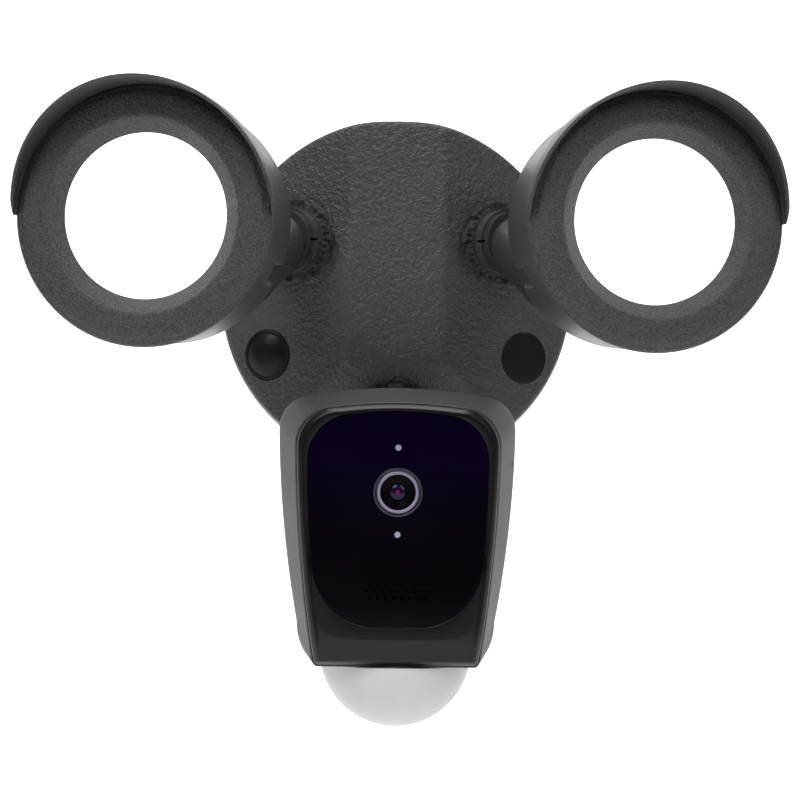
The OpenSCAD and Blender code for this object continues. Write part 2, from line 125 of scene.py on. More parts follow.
def turned(profile, count):
    # a profile of (radius r, depth z) carried once round the z axis: r cos a, r sin a, z
    a = np.linspace(0, 2 * pi, count, endpoint=False)
    r = np.repeat(profile[:, :1], count, 1)
    z = np.repeat(profile[:, 1:], count, 1)
    return np.stack([r * np.cos(a), r * np.sin(a), z], -1).reshape(-1, 3)


def cutAway(piece, cutters, sharp=30):
    # takes the cutters out of the piece for good
    for c in cutters:
        m = piece.modifiers.new("cut", "BOOLEAN")
        m.operation, m.solver, m.object = "DIFFERENCE", "EXACT", c
    graph = bpy.context.evaluated_depsgraph_get()
    cut = bpy.data.meshes.new_from_object(piece.evaluated_get(graph))
    piece.modifiers.clear()
    piece.data = cut
    cut.set_sharp_from_angle(angle=radians(sharp))
    for c in cutters:
        bpy.data.objects.remove(c)
    return piece


def rod(place, radius, z0, z1, count=64):
    # a plain round cutter
    ring = np.array([[0, z0], [radius, z0], [radius, z1], [0, z1]], float)
    return makePiece("cutter", None, place(turned(ring, count)), gridQuads(4, count), None)


def block(place, low, high):
    # a plain square cutter
    x, y, z = np.meshgrid(*zip(low, high), indexing="ij")
    p = np.stack([x.ravel(), y.ravel(), z.ravel()], 1).astype(float)
    faces = [(0, 1, 3, 2), (4, 6, 7, 5), (0, 4, 5, 1), (2, 3, 7, 6), (0, 2, 6, 4), (1, 5, 7, 3)]
    return makePiece("cutter", None, place(p), faces, None)


housing = {"plateR": 65.6, "draft": 2.4, "back": 1.6, "wall": 2.4, "ribTop": 63.0,
           "facetDrop": 24.5, "facetSlope": 26.0, "foldSoft": 0.3, "rimSoft": 0.9,
           "socket": (35.5, 18.8), "socketR": 10.4, "plug": (47.4, -23.0), "plugHoleR": 9.5,
           "ball": (0, -45.2, 16.4), "ballHoleR": 12.8, "stemTurn": 26.0,
           "columns": 420, "outerRows": 185, "innerRows": 24}


def alongRay(dirs, origin, inset):
    # distance t along each direction to the nearest face, where planes n.p = c give t = (c - n.o) / n.d, and the
    # softened nearest is low - soft ln(sum of exp(-(t - low) / soft)), which rounds the folds and the rim
    s, f = radians(flank["slope"]), radians(housing["facetSlope"])
    d, half = flank["ribDepth"], flank["ribHalf"]

    def reach(nx, ny, nz, c):
        down = dirs[:, 0] * nx + dirs[:, 1] * ny + dirs[:, 2] * nz
        left = c - inset - (origin[0] * nx + origin[1] * ny + origin[2] * nz)
        return np.where(down > 1e-6, left / np.maximum(down, 1e-6), 1e4)

    def nearest(ts, soft):
        t = np.stack(ts)
        low = t.min(0)
        return low - soft * np.log(np.exp(-(t - low) / soft).sum(0))

    top = nearest([reach(0, 0, 1, d), reach(sin(s), 0, cos(s), half * sin(s) + d * cos(s)),
                   reach(-sin(s), 0, cos(s), half * sin(s) + d * cos(s)),
                   reach(0, -sin(f), cos(f), housing["facetDrop"] * sin(f) + d * cos(f))], housing["foldSoft"])
    k = housing["draft"] / d
    across = np.hypot(dirs[:, 0], dirs[:, 1]) + k * dirs[:, 2]
    cone = (housing["plateR"] - inset - k * origin[2]) / np.maximum(across, 1e-6)
    return nearest([top, np.minimum(cone, 1e4), reach(0, 1, 0, housing["ribTop"])], housing["rimSoft"])


def domeOfHousing(rows, cols, inset):
    # rays fan out from the middle of the back; each ends on the housing's face
    origin = (0, 0, housing["back"])
    up, round_ = np.meshgrid(np.linspace(0, pi / 2, rows), np.linspace(0, 2 * pi, cols, endpoint=False), indexing="ij")
    up, round_ = up.ravel(), round_.ravel()
    dirs = np.stack([np.cos(round_) * np.sin(up), np.sin(round_) * np.sin(up), np.cos(up)], 1)
    return np.array(origin) + dirs * alongRay(dirs, origin, inset)[:, None]


def buildHousing():
    cols, outerRows, innerRows = housing["columns"], housing["outerRows"], housing["innerRows"]
    outer = domeOfHousing(outerRows, cols, 0)
    inner = domeOfHousing(innerRows, cols, housing["wall"]).reshape(innerRows, cols, 3)[::-1].reshape(-1, 3)
    cover = makePiece("housing_shell", "housing", np.concatenate([outer, inner]),
                      gridQuads(outerRows + innerRows, cols),
                      "housing_plastic", ["housing_cover"], sharp=40)
    cutters = []
    for side in sides.values():
        def atSocket(p, s=side): return toFlank(p, *housing["socket"], s)
        def atPlug(p, s=side): return toFlank(p, *housing["plug"], s)
        cutters += [rod(atSocket, housing["socketR"], -8, 9), rod(atPlug, housing["plugHoleR"], -12, 9)]
    cutters.append(rod(atBall, housing["ballHoleR"], -20, 20))
    return cutAway(cover, cutters, 32)


def atBall(p):
    # the camera's ball, z along its stem
    a = radians(housing["stemTurn"])
    q = np.stack([p[:, 0], p[:, 1] * cos(a) - p[:, 2] * sin(a), p[:, 1] * sin(a) + p[:, 2] * cos(a)], 1)
    return q + np.array(housing["ball"])


plugs = {  # profile of (radius, height above the flank), and how far its corners are rounded
    "left": ([[0, 2.9], [4, 2.45], [6.6, 1.35], [7.7, 0.55], [8.0, 0.45], [9.2, 0.45], [9.2, -1.5], [6.2, -1.5],
              [6.2, -5], [0, -5]], 0.9),
    "right": ([[0, 0.2], [9.2, 0.2], [9.2, -1.5], [6.2, -1.5], [6.2, -5], [0, -5]], 0.35)}


def buildPlug(side):
    path, corner = plugs[side]
    profile = soften(path, corner, 4, closed=False)
    points = toFlank(turned(profile, 96), *housing["plug"], sides[side])
    return makePiece(side + "_plug_cap", side + "_plug", points, gridQuads(len(profile), 96), "plug_rubber",
                     [side + "_plug"])


head = {"frontR": 43.8, "length": 44.2, "lensR": 27.7, "recess": 4.6, "hood": 16.3, "hoodR": 45.1,
        "pivot": (-16, -18, -36), "pocket": 7.6, "pocketFloor": -27.6}


def buildBezel(side):
    # (radius, depth): chamfer round the lens, flat face, rounded shoulder, spigot into the drum
    r, e = head["frontR"], head["lensR"]
    path = [[e, -4.7], [e + 4.9, -0.25], [e + 6, 0], [38, 0], [40.6, -0.4], [41.8, -1.2], [r - 0.7, -1.7], [r, -2.6],
            [r, -3.8], [40.2, -3.8], [40.2, -8], [38, -8], [38, -5.2], [e, -5.2]]
    size = [0.15, 0.5, 0.5, 1.2, 1.2, 0.3, 0.3, 0.5, 0.25, 0.2, 0.2, 0.2, 0.2, 0.15]
    profile = soften(path, size, 4)
    points = toHead(turned(profile, 240), sides[side])
    return makePiece(side + "_front_ring", side + "_head", points, gridQuads(len(profile), 240, True),
                     "lamp_front_plastic", [side + "_bezel"])


def buildDrum(side):
    # (radius, depth): outer wall with a crease, rounded back, inner wall, then the slot for the arm's tongue
    n = head["length"]
    path = [[40.6, -4.1], [42.9, -4.1], [42.4, -24.6], [42.0, -25.0], [41.8, 3 - n], [41, 0.9 - n], [39, -n], [0, -n],
            [0, 2.2 - n], [38.6, 2.2 - n], [39.6, 4 - n], [40, -25], [40.6, -10]]
    size = [0.2, 0.5, 0.25, 0.25, 1.4, 1.2, 1.2, 0, 0, 0.3, 0.6, 2, 2]
    profile = soften(path, size, 4)
    s = sides[side]
    drum = makePiece(side + "_drum", side + "_head", toHead(turned(profile, 220), s),
                     gridQuads(len(profile), 220, True),
                     "lamp_shell_plastic", [side + "_shell"])
    x, y, z = head["pivot"]
    h = head["pocket"] / 2
    return cutAway(drum, [block(lambda p: toHead(p, s), (-60, y - h, -n - 1), (x + 9, y + h, head["pocketFloor"]))],
                   30)


def buildHood(side):
    # half a flared tube whose front edge lies on a slanting plane: reach = sin(angle) x radius x length / outer
    # radius, and each section is stretched to it
    r, big, n = head["frontR"], head["hoodR"], head["hood"]
    around = np.linspace(0, pi, 160)[:, None]
    section = soften([[r + 0.1, -3.8], [r + 0.8, -3.8], [big, 1.0], [big - 1.2, 1.0], [r - 0.5, -0.8],
                      [r + 0.1, -0.8]],
                     [0.05, 0.2, 0.4, 0.4, 0.1, 0.05], 5)
    rad, z = section[:, 0][None], section[:, 1][None]
    reach = np.sin(around) * rad * n / big  # how far forward the slanting plane lies at each angle
    z = np.where(z > -0.8, (z + 0.8) / 1.8 * (reach + 0.8) - 0.8, z + 0 * reach)
    thin = np.clip(np.sin(around) * 9, 0, 1) ** 0.7  # both ends taper into the ring
    rad = r + 0.1 + (rad - r - 0.1) * (0.25 + 0.75 * thin)
    points = np.stack([rad * np.cos(around), rad * np.sin(around), z], -1).reshape(-1, 3)
    k = section.shape[0]
    faces = [tuple(f) for f in gridQuads(160, k)] + [tuple(range(k)), tuple(range(159 * k, 160 * k))[::-1]]
    return makePiece(side + "_visor", side + "_head", toHead(points, sides[side]), faces, "lamp_front_plastic",
                     [side + "_hood"])


def buildLens(side):
    profile = soften([[0, -4.9], [20, -5.0], [27.2, -5.3], [37.6, -5.3], [37.6, -6.8], [0, -6.8]], 0.4, 3,
                     closed=False)
    points = toHead(turned(profile, 160), sides[side])
    return makePiece(side + "_opal", side + "_head", points, gridQuads(len(profile), 160), "lamp_lens",
                     [side + "_lens"])


cam = {"front": 128.0, "lensY": -69.4, "floor": -127.4, "back": 72.0, "domeR": 25.6, "domeWall": 2.8, "domeRise": 3.7,
       "domeZ": 98.4, "neckR": 22.4, "chinY": -117.8, "chinSlope": 25.0, "wall": 2.2, "ledge": 121.2,
       "microphone": (-60.2, 104), "button": (-40, 84)}

outlines = {  # top, arch, half width, corner, lower half width, floor, lower corner width and height, bow
    "caseFront": (-39.9, 1.4, 33.9, 13.6, 27.9, -127.4, 2, 3, 1.2),
    "caseWide": (-34.7, 2.7, 40.3, 11.5, 33.8, -127.4, 8, 14, 1.4),
    "caseBack": (-41, 2, 35, 12, 29, -126.6, 9, 10, 1),
    "bezel": (-40.4, 1.3, 33.3, 13.6, 27.1, -126.6, 1.6, 1.6, 1.3),
    "glass": (-43, 1, 29.6, 14.6, 28.4, -113.6, 21, 24, 0.3)}


def outline(v, inset=0.0, per=16):
    # half an upright rounded box, from the top middle round the right side to the bottom middle, then mirrored:
    # an arch that falls as u^2, a quarter circle, a side bowed by 4 bow u (1 - u), a quarter ellipse and the floor
    top, arch, w1, rt, w2, low, rb, hb, bow = v
    top, w1, w2, low = top - inset, w1 - inset, w2 - inset, low + inset
    rt, rb, hb = max(rt - inset / 2, 0.3), max(rb - inset / 2, 0.3), max(hb - inset / 2, 0.3)
    u = np.arange(per) / per
    a = np.stack([(w1 - rt) * u, top - arch * u * u], 1)
    b = np.stack([w1 - rt + rt * np.sin(u * pi / 2), top - arch - rt + rt * np.cos(u * pi / 2)], 1)
    y0, y1 = top - arch - rt, low + hb
    c = np.stack([w1 + (w2 - w1) * u + 4 * bow * u * (1 - u), y0 + (y1 - y0) * u], 1)
    d = np.stack([w2 - rb + rb * np.cos(u * pi / 2), low + hb - hb * np.sin(u * pi / 2)], 1)
    u = np.linspace(0, 1, per // 2 + 1)
    e = np.stack([(w2 - rb) * (1 - u), low + 0 * u], 1)
    right = np.concatenate([a, b, c, d, e])
    left = right[-2:0:-1] * [-1, 1]
    return np.concatenate([right, left])


def between(z, stops, soft=2.0):
    # the outline's numbers at depth z, straight between the stops and eased where they meet
    zs = [s[0] for s in stops]
    rows = np.array([outlines[s[1]] for s in stops])
    near = [[np.interp(z + k * soft, zs, rows[:, i]) for i in range(rows.shape[1])] for k in (-1, -0.5, 0, 0.5, 1)]
    return tuple(np.mean(near, 0))


def loft(rings):
    # neighbouring rings of points, each (outline, depth)
    return np.concatenate([np.column_stack([ring, np.broadcast_to(z, len(ring))]) for ring, z in rings])


def buildCase():
    # the outline runs from the back to the widest place to the front, and its back corner is a quarter circle:
    # inset = size (1 - sqrt(1 - edge^2)), where edge falls from 1 to 0 over the corner's depth
    stops = [(cam["back"], "caseBack"), (100, "caseWide"), (121, "caseFront")]
    wall, corner, lipFrom = cam["wall"], 3.5, 120.4
    rings = []
    depths = [[72.0, 72.25, 72.7, 73.3, 74.2, 75.5], np.linspace(77, 119, 22), [120.4, 120.85, 121.0]]
    for z in np.concatenate(depths):
        edge = max(0.0, corner - (z - cam["back"])) / corner
        lip = max(0.0, z - lipFrom) * 0.5
        rings.append((outline(between(z, stops), corner * (1 - (1 - edge ** 2) ** 0.5) + lip), z))
    for z in (121.0, 119, 110, 100, 90, 80, 75):
        rings.append((outline(between(z, stops), wall), z))
    first, last = rings[0][0], rings[-1][0]
    closeBack = [(first * k + (1 - k) * first.mean(0), cam["back"]) for k in (0.0, 0.5, 0.9)]
    closeIn = [(last * k + (1 - k) * last.mean(0), cam["back"] + wall) for k in (0.9, 0.5, 0.0)]
    rings = closeBack + rings + closeIn
    case = makePiece("camera_body", "camera", loft(rings), gridQuads(len(rings), len(first)), "camera_case_plastic",
                     ["camera_case"], sharp=32)

    def upFrom(y, z): return lambda p: np.stack([p[:, 0], p[:, 2] + y, z - p[:, 1]], 1)
    def across(p): return np.stack([p[:, 2], p[:, 1] + cam["microphone"][0], cam["microphone"][1] - p[:, 0]], 1)
    return cutAway(case, [rod(upFrom(cam["floor"], cam["domeZ"]), cam["neckR"] + 0.1, -10, 9, 96),
                          rod(upFrom(*cam["button"]), 3.3, -12, 14), rod(atBall, 6.1, 40, 66),
                          rod(across, 0.6, 33, 45, 24)], 30)


def buildCameraFront():
    # outer wall, bevel, frame with a fine groove, crease of the chin, step down to the glass, opening, back inside;
    # below the crease every depth falls by (y - crease) tan(slope)
    front, ledge = cam["front"], cam["ledge"]
    grooveZ = front - 0.25

    def ring(shape, z):
        fall = np.minimum(0, shape[:, 1] - cam["chinY"]) * tan(radians(cam["chinSlope"]))
        onFace = np.clip((shape[:, 1] - cam["chinY"]) / 3, 0, 1)  # the groove fades out above the chin
        z = front - (front - z) * onFace if z == grooveZ else z + 0 * onFace
        depth = np.where(z > ledge, z + fall * np.clip((z - ledge) / 4, 0, 1), z)
        return (shape, np.maximum(depth, np.minimum(z, ledge)))
    frameIn, glassOut = outline(outlines["bezel"], 2.4), outline(outlines["glass"], -0.75)
    steps = [(3.2, 115), (3.0, 115.2), (3.0, 121.15), (0.15, 121.15), (0, 121.4), (0, 125.9), (0.08, 126.25),
             (0.4, 126.75), (1.1, 127.65), (1.4, 127.93), (1.7, front), (1.85, front), (1.95, grooveZ),
             (2.15, grooveZ),
             (2.25, front), (2.4, front)]
    rings = [ring(outline(outlines["bezel"], i), z) for i, z in steps]
    rings += [ring(frameIn * (1 - k) + glassOut * k, front) for k in (0.2, 0.4, 0.55, 0.61, 0.65, 0.69, 0.8)]
    rings += [ring(outline(outlines["glass"], i), z) for i, z in
              ((-0.75, front), (-0.35, 127.93), (-0.18, 127.7), (-0.15, 126.1), (2, 126.1), (2, 115))]
    return makePiece("camera_front", "camera", loft(rings), gridQuads(len(rings), len(frameIn), True),
                     "camera_bezel_plastic", ["camera_bezel"], sharp=24)


lensTrim = {  # (radius, depth behind the front): rings round the lens, stepping down to the black cone
    "ring": [[8.1, 3.5], [8.1, 0.85], [7.95, 0.7], [7.45, 0.7], [7.3, 0.95], [7.0, 1.0], [6.85, 0.62],
             [6.65, 0.5], [6.15, 0.5], [5.95, 0.62], [5.85, 0.9], [6.6, 1.6], [6.6, 3.5]],
    "cone": [[0, 3.3], [3.1, 3.3], [3.15, 2.6], [3.6, 2.5], [3.75, 2.2], [4.3, 2.1], [4.45, 1.8],
             [5.0, 1.7], [5.1, 1.45], [5.7, 1.35], [5.8, 1.7], [6.5, 1.8], [6.5, 16], [0, 16]],
    "glass": [[0, 2.35], [0.9, 2.4], [1.8, 2.6], [2.5, 2.95], [2.9, 3.28], [0, 3.29]]}


lensPieces = {"ring": ("lens_trim_ring", "lens_ring_metal", "lens_ring"),
              "cone": ("lens_cone", "black_plastic", "lens_barrel"),
              "glass": ("lens_front_glass", "lens_glass", "lens_glass")}


def buildLensTrim():
    # three turned pieces, one inside the other
    made = []
    for key, (name, slot, node) in lensPieces.items():
        profile = soften(lensTrim[key], 0.06, 3, closed=key == "ring") * [1, -1] + [0, cam["front"]]
        points = turned(profile, 120) + [0, cam["lensY"], 0]
        made.append(makePiece(name, "camera", points, gridQuads(len(profile), 120, key == "ring"), slot, [node],
                              sharp=30))
    return made


def buildDome():
    # a thin bowl of radius r about a centre "up" above the case floor: (r cos a, up - r sin a), with a flange and a
    # neck that enters the case
    r, t, up, neck = cam["domeR"], cam["domeWall"], cam["domeRise"], cam["neckR"]

    def bowl(radius, start, stop):
        a = np.linspace(start, stop, 44)
        return np.stack([radius * np.cos(a), up - radius * np.sin(a)], 1)
    lip = np.arcsin(up / r)
    inner = np.arcsin((up + 1.2) / (r - t))
    flange = [[(r * r - up * up) ** 0.5 - 0.25, 0], [neck, 0], [neck, 4.8], [neck - 1.2, 4.8], [neck - 1.2, -1.2]]
    path = np.concatenate([bowl(r, pi / 2, lip + 0.01), flange, bowl(r - t, inner, pi / 2)])
    pts = turned(path, 200)
    p = np.stack([pts[:, 0], pts[:, 2] + cam["floor"] - 0.1, cam["domeZ"] - pts[:, 1]], 1)
    return makePiece("sensor_dome", "camera", p, gridQuads(len(path), 200), "frosted_dome", ["motion_dome"])


def group(name, inputs, outputs):
    tree = bpy.data.node_groups.new(name, "ShaderNodeTree")
    for label, kind, value in inputs:
        s = tree.interface.new_socket(label, in_out="INPUT", socket_type=kind)
        if value is not None:
            s.default_value = value
    for label, kind in outputs:
        tree.interface.new_socket(label, in_out="OUTPUT", socket_type=kind)
    return tree, tree.nodes.new("NodeGroupInput"), tree.nodes.new("NodeGroupOutput")


def put(tree, kind, links=None, **values):
    # adds a node, sets its properties and sockets, and links what is given
    n = tree.nodes.new(kind)
    for k, v in values.items():
        setattr(n, k, v)
    for k, v in (links or {}).items():
        if isinstance(v, bpy.types.NodeSocket):
            tree.links.new(v, n.inputs[k])
        else:
            n.inputs[k].default_value = v
    return n


def blend(tree, share, first, second):
    # mixes two colours
    mix = put(tree, "ShaderNodeMix", data_type="RGBA")
    for socket, v in ((0, share), (6, first), (7, second)):
        if isinstance(v, bpy.types.NodeSocket):
            tree.links.new(v, mix.inputs[socket])
        else:
            mix.inputs[socket].default_value = v
    return mix.outputs[2]


def mouldedGroup():
    # moulded skin: pebbles, finer grit over them, slow colour change, and a painted highlight that makes sharp edges
    # paler and glossier
    f, c = "NodeSocketFloat", "NodeSocketColor"
    inputs = [("Color", c, (0.05, 0.05, 0.05, 1)), ("Roughness", f, 0.5), ("Grain Scale", f, 900.0),
              ("Grain Depth", f, 1.0), ("Pebble", f, 0.5), ("Edge Highlight", f, 0.3), ("Tint", f, 0.12), ("Speckle", f, 0.3)]
    t, i, o = group("moulded skin", inputs, [("Color", c), ("Roughness", f), ("Height", f)])
    at = put(t, "ShaderNodeTexCoord").outputs["Object"]
    fine = put(t, "ShaderNodeTexNoise", {"Vector": at, "Scale": i.outputs["Grain Scale"], "Detail": 2.0,
                                         "Roughness": 0.5})
    half = put(t, "ShaderNodeMath", {0: i.outputs["Grain Scale"], 1: 0.45}, operation="MULTIPLY")
    pebble = put(t, "ShaderNodeTexVoronoi", {"Vector": at, "Scale": half.outputs[0], "Randomness": 1.0},
                 feature="SMOOTH_F1")
    lift = put(t, "ShaderNodeMath", {0: pebble.outputs["Distance"], 1: i.outputs["Pebble"]}, operation="MULTIPLY")
    both = put(t, "ShaderNodeMath", {0: fine.outputs["Fac"], 1: lift.outputs[0]}, operation="SUBTRACT")
    high = put(t, "ShaderNodeMath", {0: both.outputs[0], 1: i.outputs["Grain Depth"]}, operation="MULTIPLY")
    t.links.new(high.outputs[0], o.inputs["Height"])
    slow = put(t, "ShaderNodeTexNoise", {"Vector": at, "Scale": 28.0, "Detail": 4.0})
    tint = put(t, "ShaderNodeMapRange", {"Value": slow.outputs["Fac"], "From Min": 0.3, "From Max": 0.7,
                                         "To Min": -1.0, "To Max": 1.0})
    tinted = put(t, "ShaderNodeMath", {0: tint.outputs[0], 1: i.outputs["Tint"], 2: 1.0}, operation="MULTIPLY_ADD")
    dots = put(t, "ShaderNodeMapRange", {"Value": fine.outputs["Fac"], "From Min": 0.35, "From Max": 0.65,
                                         "To Min": -1.0, "To Max": 1.0}, clamp=False)
    dotted = put(t, "ShaderNodeMath", {0: dots.outputs[0], 1: i.outputs["Speckle"], 2: tinted.outputs[0]},
                 operation="MULTIPLY_ADD")
    shaded = put(t, "ShaderNodeVectorMath", {0: i.outputs["Color"], "Scale": dotted.outputs[0]}, operation="SCALE")
    # painted highlight: where the surface bends sharply, the colour is made 2.2 times paler, broken up by noise, and a
    # little glossier
    bend = put(t, "ShaderNodeNewGeometry").outputs["Pointiness"]
    edge = put(t, "ShaderNodeMapRange", {"Value": bend, "From Min": 0.52, "From Max": 0.6})
    broken = put(t, "ShaderNodeTexNoise", {"Vector": at, "Scale": 240.0, "Detail": 5.0, "Roughness": 0.7})
    glintPatches = put(t, "ShaderNodeMath", {0: edge.outputs[0], 1: broken.outputs["Fac"]}, operation="MULTIPLY")
    edgeHighlight = put(t, "ShaderNodeMath", {0: glintPatches.outputs[0], 1: i.outputs["Edge Highlight"]}, operation="MULTIPLY")
    pale = put(t, "ShaderNodeVectorMath", {0: shaded.outputs[0], "Scale": 2.2}, operation="SCALE")
    t.links.new(blend(t, edgeHighlight.outputs[0], shaded.outputs[0], pale.outputs[0]), o.inputs["Color"])
    drift = put(t, "ShaderNodeMath", {0: slow.outputs["Fac"], 1: 0.16, 2: -0.08}, operation="MULTIPLY_ADD")
    rough = put(t, "ShaderNodeMath", {0: drift.outputs[0], 1: i.outputs["Roughness"]}, operation="ADD")
    polished = put(t, "ShaderNodeMath", {0: edgeHighlight.outputs[0], 1: -0.15, 2: rough.outputs[0]}, operation="MULTIPLY_ADD")
    t.links.new(polished.outputs[0], o.inputs["Roughness"])
    return t


moulded = mouldedGroup()

skins = {  # colour, roughness, grains per metre, grain depth, pebble share, painted edge highlight, bump distance, speckle
    "housing_plastic": ((0.033, 0.033, 0.034), 0.46, 1300, 1.0, 0.8, 0.5, 0.0006, 0.2),
    "black_plastic": ((0.018, 0.018, 0.019), 0.42, 2400, 1.0, 0.3, 0.6, 0.00004),
    "black_rubber": ((0.02, 0.02, 0.02), 0.75, 2600, 1.0, 0.4, 0.1, 0.00008),
    "plug_rubber": ((0.007, 0.007, 0.0075), 0.4, 3200, 1.0, 0.2, 0.3, 0.00003),
    "arm_plastic": ((0.022, 0.022, 0.023), 0.28, 2400, 1.0, 0.2, 1.5, 0.00003),
    "lamp_shell_plastic": ((0.022, 0.022, 0.023), 0.36, 2300, 1.0, 0.3, 0.4, 0.00022, 0.4),
    "lamp_front_plastic": ((0.0225, 0.0225, 0.0235), 0.4, 2000, 1.0, 0.5, 0.8, 0.0004, 0.9),
    "camera_case_plastic": ((0.021, 0.021, 0.022), 0.5, 2400, 1.0, 0.2, 0.3, 0.00016, 0.25),
    "camera_bezel_plastic": ((0.005, 0.005, 0.0055), 0.3, 3000, 1.0, 0.2, 0.4, 0.00003, 0.15),
    "component_black": ((0.03, 0.03, 0.03), 0.5, 2200, 1.0, 0.3, 0.2, 0.00004),
    "green_board": ((0.03, 0.16, 0.08), 0.35, 1200, 1.0, 0.1, 0.1, 0.00003),
    "ivory_plastic": ((0.75, 0.72, 0.62), 0.45, 2000, 1.0, 0.2, 0.0, 0.00003),
    "reflector_white": ((0.88, 0.88, 0.87), 0.25, 2000, 1.0, 0.2, 0.0, 0.00002),
    "led_board_white": ((0.84, 0.84, 0.82), 0.3, 1600, 1.0, 0.1, 0.0, 0.00002),
    "led_phosphor": ((0.9, 0.78, 0.2), 0.4, 3000, 1.0, 0.1, 0.0, 0.00002),
    "orange_plastic": ((0.8, 0.3, 0.04), 0.35, 2000, 1.0, 0.2, 0.1, 0.00003),
    "frosted_dome": ((0.47, 0.47, 0.475), 0.42, 1500, 1.0, 0.1, 0.0, 0.00003, 0.01),
    "lens_ring_metal": ((0.1, 0.085, 0.15), 0.2, 3000, 1.0, 0.1, 0.3, 0.00001)}

metals = {
    "zinc_steel": ((0.3, 0.305, 0.31), 0.42, 1400, 1.0, 0.3, 0.2, 0.00003),
    "screw_steel": ((0.55, 0.55, 0.55), 0.3, 2000, 1.0, 0.2, 0.4, 0.00002),
    "green_screw": ((0.1, 0.32, 0.14), 0.35, 2000, 1.0, 0.2, 0.5, 0.00002),
    "pin_steel": ((0.5, 0.5, 0.51), 0.28, 2000, 1.0, 0.1, 0.3, 0.00002),
    "aluminium_cast": ((0.66, 0.67, 0.68), 0.5, 900, 1.0, 0.6, 0.3, 0.0001),
    "sensor_can": ((0.62, 0.62, 0.64), 0.3, 1800, 1.0, 0.1, 0.3, 0.00002)}


def skin(name, v, metallic=0.0):
    m = bpy.data.materials.new(name)
    m.use_nodes = True
    t = m.node_tree
    b = t.nodes["Principled BSDF"]
    g = put(t, "ShaderNodeGroup", node_tree=moulded)
    values = ((*v[0], 1), *v[1:6], v[7] if len(v) > 7 else 0.08)
    for label, value in zip(("Color", "Roughness", "Grain Scale", "Grain Depth", "Pebble", "Edge Highlight", "Speckle"), values):
        g.inputs[label].default_value = value
    bump = put(t, "ShaderNodeBump", {"Height": g.outputs["Height"], "Distance": v[6], "Strength": 1.0})
    t.links.new(g.outputs["Color"], b.inputs["Base Color"])
    t.links.new(g.outputs["Roughness"], b.inputs["Roughness"])
    t.links.new(bump.outputs[0], b.inputs["Normal"])
    b.inputs["Metallic"].default_value = metallic
    return m


finish = {k: skin(k, v) for k, v in skins.items()}
finish.update({k: skin(k, v, 1.0) for k, v in metals.items()})
finish["lens_black"] = skin("lens_black", ((0.001, 0.0008, 0.0016), 0.3, 3000, 1.0, 0.1, 0.3, 0.00001))
shine = {"camera_bezel_plastic": 0.22, "plug_rubber": 0.15, "lens_black": 0.05, "camera_case_plastic": 0.3}
for k, v in shine.items():
    finish[k].node_tree.nodes["Principled BSDF"].inputs["Specular IOR Level"].default_value = v


def opalFinish():
    # lit opal, its warmth drifting a little over the surface
    m = skin("lamp_lens", ((0.9, 0.9, 0.88), 0.5, 1500, 1.0, 0.1, 0.0, 0.00002))
    t = m.node_tree
    b = t.nodes["Principled BSDF"]
    b.inputs["Emission Strength"].default_value = 1.15
    noise = put(t, "ShaderNodeTexNoise", {"Vector": put(t, "ShaderNodeTexCoord").outputs["Object"], "Scale": 40.0})
    glow = blend(t, noise.outputs["Fac"], (1, 0.985, 0.95, 1), (1, 1, 0.99, 1))
    t.links.new(glow, b.inputs["Emission Color"])
    return m


def glassFinish(name, color, rough):
    m = skin(name, (color, rough, 2500, 1.0, 0.1, 0.0, 0.0000003))
    b = m.node_tree.nodes["Principled BSDF"]
    b.inputs["Coat Weight"].default_value = 0.15
    b.inputs["Coat Roughness"].default_value = 0.04
    b.inputs["Specular IOR Level"].default_value = 0.1
    return m


finish["lamp_lens"] = opalFinish()
finish["camera_glass"] = glassFinish("camera_glass", (0.002, 0.0006, 0.006), 0.12)
finish["lens_glass"] = glassFinish("lens_glass", (0.02, 0.004, 0.05), 0.08)


def graded(m, stops, centre=None):
    # the colour follows height, or where a centre is given the distance from an axis along Y
    t = m.node_tree
    at = put(t, "ShaderNodeTexCoord").outputs["Object"]
    if centre:
        moved = put(t, "ShaderNodeMapping", {"Vector": at, "Location": [-v for v in centre]})
        flat = put(t, "ShaderNodeVectorMath", {0: moved.outputs[0], 1: (1, 0, 1)}, operation="MULTIPLY")
        value = put(t, "ShaderNodeVectorMath", {0: flat.outputs[0]}, operation="LENGTH").outputs["Value"]
    else:
        value = put(t, "ShaderNodeSeparateXYZ", {0: at}).outputs["Z"]
    low, high = stops[0][0], stops[-1][0]
    span = put(t, "ShaderNodeMapRange", {"Value": value, "From Min": low, "From Max": high})
    ramp = put(t, "ShaderNodeValToRGB", {"Fac": span.outputs[0]})
    elements = ramp.color_ramp.elements
    for place, color in stops[1:-1]:
        elements.new((place - low) / (high - low)).color = (*color, 1)
    elements[0].color, elements[-1].color = (*stops[0][1], 1), (*stops[-1][1], 1)
    skinNode = next(n for n in t.nodes if n.type == "GROUP")
    t.links.new(ramp.outputs["Color"], skinNode.inputs["Color"])


lensCentre = (0, 0, cam["lensY"] * mm)
# painted reflection: the glass is nearly black at the bottom and grows lighter and more violet upwards, brightest a
# little above the lens
graded(finish["camera_glass"], [(-0.1, (0.0008, 0.0006, 0.0014)), (-0.075, (0.0014, 0.0006, 0.003)),
                                (-0.06, (0.0022, 0.0002, 0.0075)), (-0.043, (0.002, 0.0, 0.007))])
# painted highlight and painted shade: a bright lilac ring on the inner front face, a near-black band in the groove,
# dimmer violet outside
graded(finish["lens_ring_metal"], [(0.0058, (0.2, 0.17, 0.26)), (0.0067, (0.16, 0.14, 0.2)),
                                   (0.0070, (0.006, 0.004, 0.01)),
                                   (0.0074, (0.012, 0.01, 0.02)), (0.0082, (0.05, 0.045, 0.07))], lensCentre)
